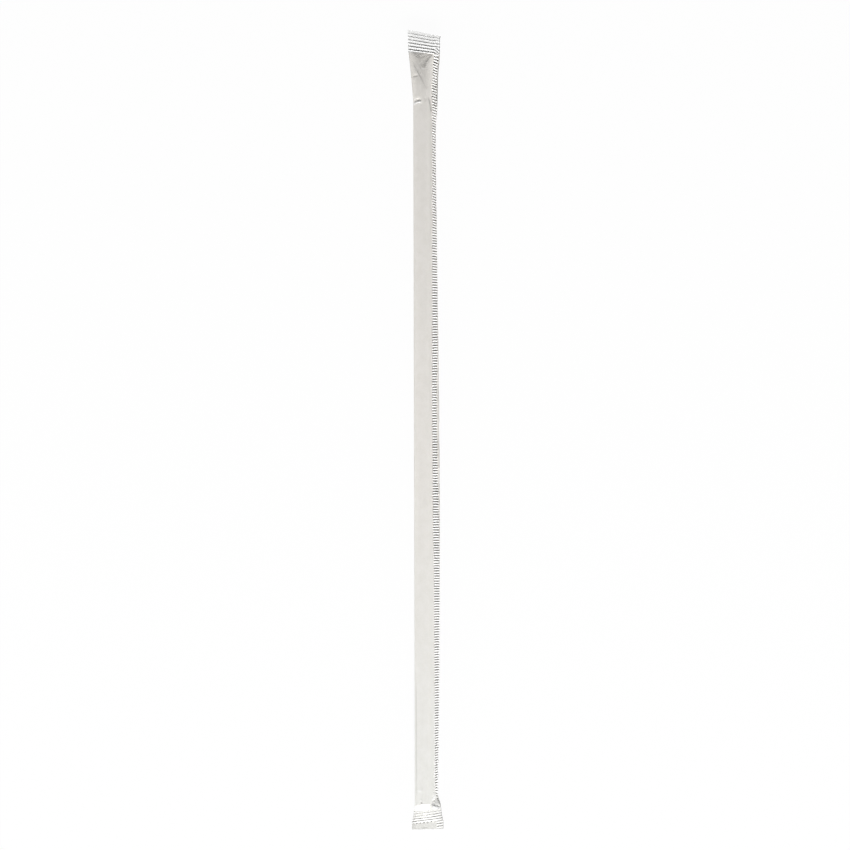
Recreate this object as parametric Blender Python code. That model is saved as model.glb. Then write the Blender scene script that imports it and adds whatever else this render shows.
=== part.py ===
"""A wrapped drinking straw, lying on a table.

A strip of paper is folded lengthwise round the straw. Its two long edges are pressed together
into a ribbed side seam, and a ribbed seal closes each end. The pack can't be seen into, so it is
one closed solid: a loft whose section changes from a bowed pair of plies at each seal to a drop
shape round the straw, with the side seam standing off it like a fin. Both seals hang clear of
the table at about half the straw's height, as stiff paper does that is held by a tube.

X runs across the sleeve, with the side seam at +X. Y runs along the straw, with the long empty
neck at +Y. Z is up, and the table is at Z = 0. The origin is on the table, at the middle of the
box that the pack fills.
"""

import math

import bmesh
import bpy
import numpy as np
from mathutils import Vector

# Straw, in metres
straw_length = 0.197
straw_diameter = 0.0043

# Paper
paper_thickness = 0.00006
underside_flat_width = 0.0011

# Side seam: where it leaves the straw, and the ribs that the sealing wheel pressed
seam_standoff = 0.00066
seam_root_drop = 0.0003
seam_lead_width = 0.00035
seam_band_width = 0.00125
seam_margin_width = 0.0003
seam_rib_pitch = 0.000733
seam_rib_height = 0.0003

# Top seal: its height above the table at the neck and at the cut edge, and its bow, which is the
# angle between its middle and its edges
top_seal_length = 0.0056
top_seal_offset = 0.0009
top_seal_height = 0.0022
top_cut_height = 0.0031
top_seal_bow = math.radians(20)
top_cut_bow = math.radians(6)
top_seal_slope = -0.187
top_rib_pitch = 0.00088
top_rib_height = 0.00024

# The empty neck between the top seal and the straw, with a fold across it near the seal. The
# fold's facet rises from the seal by its slope.
neck_length = 0.0141
neck_facet_slope = 0.3

# Foot: the paper is drawn out towards the seam before the straw ends, and it leaves the straw's
# lower rim later where the rim is lower
foot_length = 0.00175
foot_seam_lead = 0.0022
rim_bow = 0.0007

# Bottom seal, close under the straw, with a plain flap below its ribs
bottom_seal_length = 0.0034
bottom_seal_offset = 0.0013
bottom_seal_height = 0.001
bottom_seal_bow = math.radians(43)
bottom_seal_slope = 0.06
bottom_rib_pitch = 0.00068
bottom_rib_height = 0.0002
bottom_flap_length = 0.0019
bottom_flap_height = 0.0013
bottom_flap_bow = math.radians(3)
bottom_flap_slope = 0.03

# How far the seam's ribbed band and its plain margin spread sideways: shares of the way down the
# straw, and of their width
seam_band_spread_shares = (
    (-0.04, 0.98), (0.00, 0.95), (0.02, 0.74), (0.11, 0.72), (0.20, 0.75), (0.28, 0.86), (0.37, 0.91),
    (0.50, 0.97), (0.63, 0.97), (0.71, 0.92), (0.80, 0.82), (0.88, 0.78), (0.96, 0.60), (1.00, 0.95),
)
seam_margin_spread_shares = (
    (-0.045, 1.00), (-0.035, 0.25), (0.00, 0.15), (0.25, 0.15), (0.30, 0.50), (0.37, 0.92),
    (0.62, 0.95), (0.69, 0.40), (0.80, 0.30), (0.99, 0.20), (1.01, 0.90),
)

# How the ribs lean along the seam: shares of the way down the straw, and rise over run
seam_lean_shares = (
    (0.00, -0.60), (0.20, -0.55), (0.30, -0.06), (0.70, 0.00), (0.80, -0.12), (1.00, -0.15),
)
seam_turn_share = 0.15

# How far the neck's fold lies below the seal: shares across the sleeve, from -1 at the left fold
# to 1 at the seam's cut edge, and of the neck's length
neck_fold_shares = (
    (-0.96, 0.004), (-0.87, 0.018), (-0.50, 0.078), (-0.26, 0.098), (-0.02, 0.060), (0.16, 0.020),
    (0.50, 0.004),
)

# Creases in the upper ply of the neck: start and end as shares across from the seam and down
# from the seal, then the depth and half width in metres
neck_crease_depth = 0.0002
neck_crease_half_width = 0.0006
neck_crease_shares = (
    ((0.86, 0.16), (0.30, 0.72)),
    ((0.88, 0.93), (0.62, 0.90)),
)

# How finely the loft is divided
lead_steps = 2
crown_steps = 12
right_haunch_steps = 5
left_haunch_steps = 6
neck_steps = 30
barrel_steps = 24
foot_steps = 9
flap_steps = 2

seam_thickness = 2 * paper_thickness
seam_width = seam_lead_width + seam_band_width + seam_margin_width
wrap_radius = straw_diameter / 2 + paper_thickness
flat_half_angle = math.asin(underside_flat_width / 2 / wrap_radius)
axis_height = wrap_radius * math.cos(flat_half_angle)
root_x = wrap_radius + seam_standoff
root_height = axis_height - seam_root_drop
straw_top = straw_length / 2
straw_bottom = -straw_length / 2
neck_top = straw_top + neck_length
foot_bottom = straw_bottom - foot_length
ribs_end = foot_bottom - bottom_seal_length


def blend(start, end, share):
    """The value that lies the given share of the way from start to end."""
    return start + (end - start) * share


def held(share):
    """A share, or an array of shares, held between 0 and 1."""
    return np.clip(share, 0.0, 1.0)


def smooth(share):
    """A share held between 0 and 1 and eased at both ends."""
    share = held(share)
    return share * share * (3 - 2 * share)


def read_shares(table, share):
    """Look shares up in a table of pairs, straight between its points."""
    places, values = zip(*table)
    return np.interp(share, places, values)


def arc(start_angle, end_angle, steps):
    """Points on the wrapped straw between two angles, both ends included."""
    angles = np.linspace(start_angle, end_angle, steps + 1)
    return [(wrap_radius * math.cos(a), axis_height + wrap_radius * math.sin(a)) for a in angles]


def wrapped_plies():
    """The upper and lower ply round the straw, each from the seam's root to the left fold.

    Each ply leaves the root on a straight line, meets the straw where that line touches it, and
    follows the straw to the fold. The lower one lies flat on the table under the straw.
    """
    root_angle = math.atan2(-seam_root_drop, root_x)
    touch_angle = math.acos(wrap_radius / math.hypot(root_x, seam_root_drop))
    fold_half_angle = seam_thickness / 2 / wrap_radius
    upper_touch = root_angle + touch_angle
    lower_touch = root_angle - touch_angle
    down = -math.pi / 2
    crown = arc(upper_touch, root_angle + math.pi - fold_half_angle, crown_steps)
    right_haunch = arc(lower_touch, down + flat_half_angle, right_haunch_steps)
    left_haunch = arc(down - flat_half_angle, root_angle - math.pi + fold_half_angle, left_haunch_steps)
    root = np.array((root_x, root_height))
    lead_up = [tuple(blend(root, np.array(crown[0]), k / lead_steps)) for k in range(lead_steps)]
    lead_down = [tuple(blend(root, np.array(right_haunch[0]), k / lead_steps)) for k in range(lead_steps)]
    return np.array(lead_up + crown), np.array(lead_down + right_haunch + left_haunch)


def run_lengths(points):
    """The distance from the first point to each point, along the line through them."""
    steps = np.hypot(*np.diff(points, axis=0).T)
    return np.concatenate(([0.0], np.cumsum(steps)))


upper_round, lower_round = wrapped_plies()
upper_run, lower_run = run_lengths(upper_round), run_lengths(lower_round)
ply_width = (upper_run[-1] + lower_run[-1]) / 2
sleeve_width = ply_width + seam_width
root_across = 1 - 2 * seam_width / sleeve_width


def pressed(y, share):
    """0 where the paper is round the straw and 1 where it is flat, at a seal.

    The share is the point's own share of the way from the seam's root to the left fold.
    """
    lead = foot_seam_lead * (1 - share) ** 3 - rim_bow * (2 * share - 1) ** 2
    rim = straw_bottom + lead
    above = (y - straw_top) / neck_length
    below = (rim - y) / (rim - foot_bottom)
    return held(np.maximum(above, below))


def fullness(y, share):
    """The share of its round height that the sleeve still has.

    In the neck it falls ever faster down to the fold near the seal, and from the fold on it
    falls evenly. In the foot it falls at once.
    """
    flatness = pressed(y, share)
    if y < 0:
        return (1 - flatness) ** 0.9
    reach = read_shares(neck_fold_shares, root_across - 2 * share * ply_width / sleeve_width)
    fold = 1 - reach
    at_fold = neck_facet_slope * reach * neck_length / wrap_radius
    above_fold = at_fold * (1 - flatness) / reach
    return np.where(flatness < fold, at_fold + (1 - at_fold) * (1 - (flatness / fold) ** 2), above_fold)


def end_line(across, y):
    """The bowed middle line of the two plies at an end, from -1 at the fold to 1 at the cut edge.

    It is an arc as long as the sleeve is wide, spanning twice the bow's angle.
    """
    if y > 0:
        up = held((y - neck_top) / top_seal_length)
        offset = top_seal_offset
        edge = blend(top_seal_height, top_cut_height, up)
        bow = blend(top_seal_bow, top_cut_bow, up)
    else:
        down = held((foot_bottom - y) / bottom_seal_length)
        offset = bottom_seal_offset
        edge = blend(bottom_seal_height, bottom_flap_height, smooth(down))
        bow = blend(bottom_flap_bow, bottom_seal_bow, (1 - down) ** 1.5)
    radius = sleeve_width / 2 / bow
    return offset + radius * np.sin(across * bow), edge + radius * (np.cos(across * bow) - math.cos(bow))


def shaped(y, share, flat, rounded):
    """A point between its pressed place and its place round the straw, and its fullness.

    X goes evenly from one to the other. The height is that of a middle line, which rises or
    falls to the seal's height, and what the sleeve still has of its own half height.
    """
    flatness = pressed(y, share)
    full = fullness(y, share)
    x = blend(rounded[0], flat[0], flatness)
    middle = blend(axis_height, flat[1], flatness * flatness)
    return x, middle + full * (rounded[1] - axis_height), full


def line_slope(y):
    """How a line across the sleeve leans: as the seals do, and square across the straw."""
    up = smooth((y - straw_top) / neck_length)
    down = smooth((straw_bottom - y) / foot_length)
    flap = held((ribs_end - y) / bottom_flap_length)
    return top_seal_slope * up + blend(bottom_seal_slope, bottom_flap_slope, flap) * down


def seam_lean(y):
    """The slope of the seam's ribs, turning to the seal's own slope just before each end."""
    lean = read_shares(seam_lean_shares, (straw_top - y) / straw_length)
    near_end = (pressed(y, 0.0) - 1 + seam_turn_share) / seam_turn_share
    return blend(lean, line_slope(y), smooth(near_end))


def seam_points(y, distance, lift):
    """The seam's upper and lower face at a distance from its root, raised by a rib's lift.

    Round the straw the band droops by the angle whose cosine is its spread, and the margin turns
    down further. At the ends the seam is the outer part of the bowed line.
    """
    share_down = (straw_top - y) / straw_length
    droop = math.acos(read_shares(seam_band_spread_shares, share_down))
    turn = math.acos(read_shares(seam_margin_spread_shares, share_down))
    inner = min(distance, seam_lead_width + seam_band_width)
    outer = distance - inner
    root = end_line(root_across, y)
    x, z, _ = shaped(y, 0.0, root, (root_x, root_height))
    flat_x, flat_z = end_line(root_across + 2 * distance / sleeve_width, y)
    pull = 1 - smooth(pressed(y, 0.0))
    out = inner * math.cos(droop) + outer * math.cos(turn)
    down = inner * math.sin(droop) + outer * math.sin(turn)
    middle = np.array((x + blend(flat_x - root[0], out, pull), z + blend(flat_z - root[1], -down, pull)))
    tilt = droop * pull
    across = np.array((math.sin(tilt), math.cos(tilt)))
    middle = middle + across * lift
    return middle + across * seam_thickness / 2, middle - across * seam_thickness / 2


def crease_relief(across_share, down_share):
    """How deep the neck's upper ply is creased, as soft grooves along straight lines."""
    relief = 0.0
    for start, end in neck_crease_shares:
        start_point = Vector((start[0] * ply_width, start[1] * neck_length))
        end_point = Vector((end[0] * ply_width, end[1] * neck_length))
        place = Vector((across_share * ply_width, down_share * neck_length))
        run = end_point - start_point
        share = min(1.0, max(0.0, (place - start_point).dot(run) / run.length_squared))
        gap = (place - start_point - run * share).length
        relief += neck_crease_depth * math.exp(-((gap / neck_crease_half_width) ** 2))
    return min(relief, neck_crease_depth)


def sleeve_section(y, lift):
    """The upper and lower ply at one height, from just past the seam's root to the left fold."""
    plies = []
    for side, ply, run in ((+1, upper_round, upper_run), (-1, lower_round, lower_run)):
        share = run / run[-1]
        flat = end_line(root_across - 2 * share * ply_width / sleeve_width, y)
        x, z, full = shaped(y, share, flat, ply.T)
        z = z + lift + (1 - full) * side * seam_thickness / 2
        if side > 0 and y > straw_top:
            down = (neck_top - y) / neck_length
            for k in range(1, len(run) - 1):
                z[k] -= full[k] * crease_relief(share[k], down)
        plies.append(np.column_stack((x, z))[1:])
    return plies


def rib_lines(start, end, pitch, height):
    """Heights from start down to end, two to a rib, each with the rib's lift there."""
    count = 2 * max(1, round(abs(start - end) / pitch))
    places = np.linspace(start, end, count + 1)
    lifts = [height / 2 if k % 2 else -height / 2 for k in range(count + 1)]
    lifts[0] = lifts[-1] = 0.0
    return list(zip(places, lifts))


def plain_lines(start, end, steps):
    """Evenly spaced heights with no rib, without the first."""
    return [(y, 0.0) for y in np.linspace(start, end, steps + 1)[1:]]


def lines_along():
    """Lines across the sleeve, the seam's ribs and the seam's edge, from the top cut edge down."""
    top_seal = rib_lines(neck_top + top_seal_length, neck_top, top_rib_pitch, top_rib_height)
    bottom_seal = rib_lines(foot_bottom, ribs_end, bottom_rib_pitch, bottom_rib_height)[1:]
    flap = plain_lines(ribs_end, ribs_end - bottom_flap_length, flap_steps)
    sleeve = plain_lines(neck_top, straw_top, neck_steps)
    sleeve += plain_lines(straw_top, straw_bottom + foot_seam_lead, barrel_steps)
    sleeve += plain_lines(straw_bottom + foot_seam_lead, foot_bottom, foot_steps)
    ribs = rib_lines(neck_top, foot_bottom, seam_rib_pitch, seam_rib_height)[1:]
    edge = [(y, 0.0) for y, lift in ribs[::2] + ribs[-1:]]
    return [top_seal + middle + bottom_seal + flap for middle in (sleeve, ribs, edge)]


class Surface:
    """Points and faces of the solid as they are made."""

    def __init__(self):
        self.points = []
        self.faces = []

    def add(self, x, y, z):
        """Add a point and give its number."""
        self.points.append((x, y, z))
        return len(self.points) - 1

    def strip(self, first, second):
        """Fill between two lines of points that run down side by side, whatever their counts.

        Each line is a list of (number, height). The line whose next point is higher moves on.
        """
        i = j = 0
        while i < len(first) - 1 or j < len(second) - 1:
            first_next = first[i + 1][1] if i < len(first) - 1 else -math.inf
            second_next = second[j + 1][1] if j < len(second) - 1 else -math.inf
            if first_next >= second_next:
                self.faces.append((first[i][0], first[i + 1][0], second[j][0]))
                i += 1
            else:
                self.faces.append((first[i][0], second[j + 1][0], second[j][0]))
                j += 1


def add_sleeve_lines(surface, lines):
    """The long lines of both plies, from just past the seam's root to the fold."""
    plies = [[[] for _ in range(len(run) - 1)] for run in (upper_run, lower_run)]
    for y, lift in lines:
        slope = line_slope(y)
        for ply, points in zip(plies, sleeve_section(y, lift)):
            for line, (x, z) in zip(ply, points):
                line.append((surface.add(x, y + slope * x, z), y))
    return plies


def add_seam_lines(surface, lines, distance):
    """One long line on each face of the seam, at a distance from its root."""
    faces = ([], [])
    for y, lift in lines:
        slope, lean = line_slope(y), seam_lean(y)
        root = seam_points(y, 0.0, 0.0)[0][0]
        for line, (x, z) in zip(faces, seam_points(y, distance, lift)):
            line.append((surface.add(x, y + slope * root + lean * (x - root), z), y))
    return faces


def build_surface():
    """The whole closed surface: both plies, both faces of the seam, and the cut edges."""
    surface = Surface()
    sleeve_lines, rib_places, edge_places = lines_along()
    upper, lower = add_sleeve_lines(surface, sleeve_lines)
    root = add_seam_lines(surface, edge_places, 0.0)
    band_inner = add_seam_lines(surface, rib_places, seam_lead_width)
    band_outer = add_seam_lines(surface, rib_places, seam_lead_width + seam_band_width)
    edge = add_seam_lines(surface, edge_places, seam_width)
    upper_lines = [edge[0], band_outer[0], band_inner[0], root[0]] + upper
    lower_lines = [edge[1], band_outer[1], band_inner[1], root[1]] + lower
    for lines in (upper_lines, lower_lines):
        for first, second in zip(lines, lines[1:]):
            surface.strip(first, second)
    surface.strip(edge[0], edge[1])
    surface.strip(upper[-1], lower[-1])
    for end in (0, -1):
        cut = [(a[end][0], b[end][0]) for a, b in zip(upper_lines, lower_lines)]
        for (a, b), (c, d) in zip(cut, cut[1:]):
            surface.faces.append((a, b, d, c))
    return surface


def paper_material():
    """Plain white wrapping paper."""
    material = bpy.data.materials.new("sleeve_paper")
    material.use_nodes = True
    shader = material.node_tree.nodes["Principled BSDF"]
    shader.inputs["Base Color"].default_value = (0.82, 0.8, 0.76, 1)
    shader.inputs["Roughness"].default_value = 0.8
    shader.inputs["Metallic"].default_value = 0.0
    return material


def make_solid(name, surface):
    """Make the object, facing outwards, with the middle of its box over the origin."""
    solid = bmesh.new()
    points = np.array(surface.points)
    middle = (points.min(axis=0) + points.max(axis=0)) / 2
    points[:, :2] -= middle[:2]
    points[:, 2] -= points[:, 2].min()
    corners = [solid.verts.new(point) for point in points]
    for face in surface.faces:
        solid.faces.new([corners[k] for k in face])
    bmesh.ops.recalc_face_normals(solid, faces=solid.faces)
    mesh = bpy.data.meshes.new(name)
    solid.to_mesh(mesh)
    solid.free()
    mesh.shade_smooth()
    mesh.set_sharp_from_angle(angle=math.radians(30))
    mesh.materials.append(paper_material())
    return bpy.data.objects.new(name, mesh)


def main():
    for old in list(bpy.data.objects):
        bpy.data.objects.remove(old, do_unlink=True)
    collection = bpy.data.collections.new("wrapped_drinking_straw")
    bpy.context.scene.collection.children.link(collection)
    collection.objects.link(make_solid("wrapped_straw", build_surface()))


main()
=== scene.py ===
# %% [markdown]
# # A wrapped drinking straw
#
# The object is one plain straw, sealed in a strip of thin white paper. It is almost all surface:
# nothing moves, nothing is coloured, and what makes it look real is how the paper has been bent.
# So this lesson works out one sheet of paper, from one end to the other, as a few functions of
# two parameters, and then divides that sheet into pieces fine enough to show every rib.
#
# All lengths are in metres. X runs across the sleeve, with the side seam at +X. Y runs along the
# straw, with the empty neck at +Y. The table is at Z = 0.

# %% The frame that the looks are built on
import math

import bpy
import numpy as np
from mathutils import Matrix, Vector


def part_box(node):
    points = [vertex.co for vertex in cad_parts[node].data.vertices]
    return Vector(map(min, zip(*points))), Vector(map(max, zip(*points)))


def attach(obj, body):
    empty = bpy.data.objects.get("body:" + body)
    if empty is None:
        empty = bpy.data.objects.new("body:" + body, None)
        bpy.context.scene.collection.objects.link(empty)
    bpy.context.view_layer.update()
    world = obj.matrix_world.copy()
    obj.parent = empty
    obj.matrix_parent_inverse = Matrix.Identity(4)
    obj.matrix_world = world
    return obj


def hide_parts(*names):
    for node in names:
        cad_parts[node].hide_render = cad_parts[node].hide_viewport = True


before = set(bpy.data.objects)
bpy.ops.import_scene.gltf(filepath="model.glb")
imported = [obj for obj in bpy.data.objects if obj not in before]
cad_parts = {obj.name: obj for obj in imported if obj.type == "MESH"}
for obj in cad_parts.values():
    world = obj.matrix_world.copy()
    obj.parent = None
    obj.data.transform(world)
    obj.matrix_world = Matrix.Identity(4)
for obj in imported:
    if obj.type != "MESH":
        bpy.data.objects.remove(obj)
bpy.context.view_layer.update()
solid_low, solid_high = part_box("wrapped_straw")
millimetre = 0.001
print("solid's box, mm:", [round((b - a) / millimetre, 2) for a, b in zip(solid_low, solid_high)])

# %% [markdown]
# ## Sizes
#
# The straw sets everything else. The sleeve is a strip folded round it, so its width lying flat
# is half of the way round the straw plus the seam. The seam leaves the straw a little way off
# its surface, because two stiff plies can't meet at a sharp angle.

# %% Driving sizes of the straw and the seam
straw_length = 0.197
straw_diameter = 0.0043
paper_thickness = 0.00006
underside_flat_width = 0.0011

seam_standoff = 0.00066
seam_root_drop = 0.0003
seam_lead_width = 0.00035
seam_band_width = 0.00125
seam_margin_width = 0.0004

seam_thickness = 2 * paper_thickness
seam_width = seam_lead_width + seam_band_width + seam_margin_width
wrap_radius = straw_diameter / 2 + paper_thickness
flat_half_angle = math.asin(underside_flat_width / 2 / wrap_radius)
axis_height = wrap_radius * math.cos(flat_half_angle)
root_x = wrap_radius + seam_standoff
root_height = axis_height - seam_root_drop
straw_top = straw_length / 2
straw_bottom = -straw_length / 2
print("seam's width, mm:", round(seam_width / millimetre, 2))


# %% [markdown]
# ## Small tools
#
# Every shape below is made of blends between two others. The tables are read straight between
# their points, as shares: how far along, and how much of a named size. A mask is a number between
# 0 and 1 for every point, so that masks can be multiplied. Its place and the width of its edge are
# kept as a pair. A bell is a mask round one place.

# %% Blends, tables and masks
def blend(start, end, share):
    """The value that lies the given share of the way from start to end."""
    return start + (end - start) * share


def smooth(share):
    """A share held between 0 and 1 and eased at both ends: 3s^2 - 2s^3."""
    share = np.clip(share, 0.0, 1.0)
    return share * share * (3 - 2 * share)


def rising(value, start, width):
    """A mask: 0 up to the start, eased to 1 over the width after it."""
    return smooth((value - start) / width)


def falling(value, end, width):
    """A mask: 1 up to a width before the end, eased to 0 at the end."""
    return smooth((end - value) / width)


def bell(distance, width):
    """1 where the distance is 0 and falling off on both sides: e to the minus (distance / width)^2."""
    return np.exp(-((distance / width) ** 2))


def read_shares(table, share):
    """Look shares up in a table of pairs, straight between its points."""
    places, values = zip(*table)
    return np.interp(share, places, values)


def ripple(along, seed, waves):
    """A smooth wandering line from -1 to 1: a sum of sines of unlike lengths and phases."""
    rng = np.random.default_rng(seed)
    total = np.zeros_like(along, dtype=float)
    for wave in waves:
        total += np.sin(2 * np.pi * (along / wave + rng.random()))
    return total / len(waves)


def uneven(along, amount, seed, waves):
    """A strength that wanders by the amount on both sides of a little under 1."""
    return 1 - amount + amount * ripple(along, seed, waves)


def along_straw(y):
    """How far down the straw a height is: 0 at its upper rim and 1 at its lower rim."""
    return (straw_top - y) / straw_length


print("a quarter of the way, eased:", smooth(0.25))


# %% [markdown]
# ## The section round the straw
#
# Seen from the end, the paper is a drop: a circle round the straw, and two straight lines that
# touch the circle and meet at the seam's root. Paper doesn't stretch, so a point of the sheet is
# named by its share of the way from the root to the left fold, and that share is the same where
# the sleeve is round and where it is pressed flat.

# %% The upper and lower ply, from the seam's root to the left fold
def wrapped_ply(side, samples=400):
    """Points on one ply round the straw, and how far along it each one is.

    The ply runs straight from the root to where that line touches the circle, then round the
    circle to the fold opposite the root. Below, it can't go under the table, so it is flat there.
    """
    root_angle = math.atan2(-seam_root_drop, root_x)
    touch_angle = math.acos(wrap_radius / math.hypot(root_x, seam_root_drop))
    angles = root_angle + side * np.linspace(touch_angle, math.pi, samples)
    x = np.concatenate(([root_x], wrap_radius * np.cos(angles)))
    z = np.concatenate(([root_height], axis_height + wrap_radius * np.sin(angles)))
    z = np.maximum(z, 0.0)
    run = np.concatenate(([0.0], np.cumsum(np.hypot(np.diff(x), np.diff(z)))))
    return x, z, run


plies = {side: wrapped_ply(side) for side in (+1, -1)}
ply_width = (plies[+1][2][-1] + plies[-1][2][-1]) / 2
sleeve_width = ply_width + seam_width
print("sleeve lying flat, mm:", round(sleeve_width / millimetre, 2))


def round_section(share, side):
    """Where the share of the way from root to fold lies, wrapped round the straw."""
    x, z, run = plies[side]
    return np.interp(share, run / run[-1], x), np.interp(share, run / run[-1], z)


def drawn_out(x, extra):
    """Points of the section with its straight leads drawn out by the extra length at the root."""
    touch_x = wrap_radius**2 / root_x
    return x + extra * np.clip((x - touch_x) / (root_x - touch_x), 0, 1)


# %% [markdown]
# ## The sections at the two ends
#
# Each end is pressed flat, but a flat sheet of paper that is joined to a round tube stays bowed
# for a while. A bowed line is an arc of the same length as the flat one. The top seal has 14 mm
# of empty neck to calm down in, so it is nearly flat, and the neck holds it up in the air. The
# bottom one is pressed close under the straw, so it is strongly bowed, and hangs just clear of
# the table.

# %% Sizes of the neck and the top seal
top_seal_length = 0.0056
top_seal_offset = 0.00095
top_seal_height = 0.0022
top_cut_height = 0.0031
top_seal_bow = math.radians(20)
top_cut_bow = math.radians(6)
top_seal_slope = -0.195
neck_end_slope = -0.135
top_edge_turn_width = 0.0004
top_edge_turn = math.radians(68)
top_cut_turn_share = 0.35
top_cut_turn_length = 0.0012
neck_length = 0.0141
neck_facet_slope = 0.30
neck_edge_extra = 0.00028
neck_edge_place = 0.0088
neck_edge_spread = 0.0032
neck_fold_lag = 0.3
neck_top = straw_top + neck_length
top_cut = neck_top + top_seal_length

# %% Sizes of the foot and the bottom seal
foot_length = 0.00175
foot_seam_lead = 0.0022
foot_lead_power = 8
foot_fullness_power = 0.9
rim_bow = 0.0007
bottom_seal_length = 0.0034
bottom_seal_offset = 0.00138
bottom_seal_height = 0.0005
bottom_seal_slope = 0.06
bottom_seal_bow = math.radians(58)
bottom_flap_length = 0.0019
bottom_flap_height = 0.0007
bottom_flap_slope = 0.03
bottom_flap_bow = math.radians(30)
foot_bottom = straw_bottom - foot_length
flap_top = foot_bottom - bottom_seal_length
bottom_cut = flap_top - bottom_flap_length
print("from cut edge to cut edge, mm:", round((top_cut - bottom_cut) / millimetre, 1))

# %% [markdown]
# The fold where the neck stops falling away and starts to lie flat is a crooked line. The table
# gives its distance from the seal at places across the neck, both in millimetres, and reading it
# at five places side by side rounds its corners.

# %% How flat, how bowed and how high the sleeve is at each height
neck_fold_reach = (
    (-3.4, 0.05), (-2.95, 0.25), (-1.3, 1.10), (-0.2, 1.38), (0.9, 0.85), (1.75, 0.28), (3.3, 0.05),
)
fold_blur = (-0.4, -0.2, 0.0, 0.2, 0.4)


def pressed(y, share):
    """0 where the paper is round the straw and 1 where it is flat, at a seal.

    Near the seam the paper is drawn out towards the bottom seal a little before the straw ends,
    and everywhere round the lower rim it leaves the straw later the lower on the rim it is.
    """
    lead = foot_seam_lead * (1 - share) ** foot_lead_power - rim_bow * (2 * share - 1) ** 2
    rim = straw_bottom + lead
    above = (y - straw_top) / neck_length
    below = (rim - y) / (rim - foot_bottom)
    return np.clip(np.maximum(above, below), 0.0, 1.0)


def fullness(y, share):
    """The share of its round height that the sleeve still has.

    In the neck it falls as 1 - s^2, which is about what a sheet does that can't stretch, down to
    a fold near the seal, and from that fold on it falls evenly. In the foot it falls at once.
    """
    s = pressed(y, share)
    across = top_seal_offset + sleeve_width / 2 - seam_width - share * ply_width
    places = [across / millimetre + shift for shift in fold_blur]
    reach = sum(read_shares(neck_fold_reach, place) for place in places) / len(places) * millimetre
    fold = 1 - reach / neck_length
    left = neck_facet_slope * reach / wrap_radius
    neck = np.where(s < fold, left + (1 - left) * (1 - (s / fold) ** 2), left * (1 - s) / (1 - fold))
    return np.where(y > 0, neck, (1 - s) ** foot_fullness_power)


kept_height = fullness(straw_top + neck_length / 2, 0.5)
print("half way up the neck the sleeve keeps", round(float(kept_height), 2), "of its height")


# %% [markdown]
# The pressed sections are arcs. An arc's radius is its length over its angle, so the paper keeps
# its width whatever the bow is.

# %% The bowed line across an end
def across_from_cut(distance):
    """Where a distance from the seam's cut edge lies: from +1 at that edge to -1 at the fold."""
    return 1 - 2 * distance / sleeve_width


def end_section(across, y):
    """The bowed line across an end: from -1 at the fold to +1 at the seam's edge.

    An arc as long as the flat sleeve is wide, spanning twice the bow's angle. At the top seal the
    seam's last strip is turned down, and a little more of it in the middle of the neck. It gives
    X and the height of the middle of the two plies.
    """
    up = np.clip((y - neck_top) / top_seal_length, 0.0, 1.0)
    down = np.clip((foot_bottom - y) / bottom_seal_length, 0.0, 1.0)
    top = y > 0
    low_edge = blend(bottom_seal_height, bottom_flap_height, smooth(down))
    low_bow = blend(bottom_flap_bow, bottom_seal_bow, 1 - down**2)
    bow = np.where(top, blend(top_seal_bow, top_cut_bow, up), low_bow)
    offset = np.where(top, top_seal_offset, bottom_seal_offset)
    edge = np.where(top, blend(top_seal_height, top_cut_height, up), low_edge)
    radius = sleeve_width / 2 / bow
    extra = neck_edge_extra * bell(y - straw_top - neck_edge_place, neck_edge_spread)
    turn_start = across_from_cut(top_edge_turn_width + extra)
    turned = np.where(top, np.maximum(across - turn_start, 0) * sleeve_width / 2, 0)
    turn = top_edge_turn * smooth(top_cut_turn_share + (top_cut - y) / top_cut_turn_length)
    across = across - 2 * turned / sleeve_width
    x = offset + radius * np.sin(across * bow) + turned * np.cos(turn)
    return x, edge + radius * (np.cos(across * bow) - np.cos(bow)) - turned * np.sin(turn)


both_edges = np.array((1.0, -1.0))
for label, height in (("top", neck_top), ("bottom", foot_bottom)):
    edge_x = end_section(both_edges, np.array((height, height)))[0]
    print(label, "seal's width seen from above, mm:", round((edge_x[0] - edge_x[1]) / millimetre, 2))


# %% [markdown]
# The bars that pressed the ends weren't quite square to the strip, so the seals' lines lean. The
# top one's lines also fan out a little, as they do when a strip is pulled while it is pressed.

# %% How the lines across the sleeve lean
def line_slope(y):
    """How a line across the sleeve leans: as the seals do, and square across the straw."""
    up = rising(y, straw_top, neck_length)
    down = falling(y, straw_bottom, foot_length)
    fan = np.clip((y - neck_top) / top_seal_length, 0.0, 1.0)
    flap = np.clip((flap_top - y) / bottom_flap_length, 0.0, 1.0)
    top_slope = blend(neck_end_slope, top_seal_slope, fan)
    return top_slope * up + blend(bottom_seal_slope, bottom_flap_slope, flap) * down


print("slopes at both cut edges:", round(line_slope(top_cut), 3), round(line_slope(bottom_cut), 3))


# %% [markdown]
# ## The side seam's line
#
# The seam stands off the sleeve like a fin two plies thick. It doesn't stay level: over the
# length of the straw it droops and comes level again, so from above it looks narrow near the top,
# wide in the middle and narrow again near the bottom. Its ribs lean where the seam was dragged.

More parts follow.
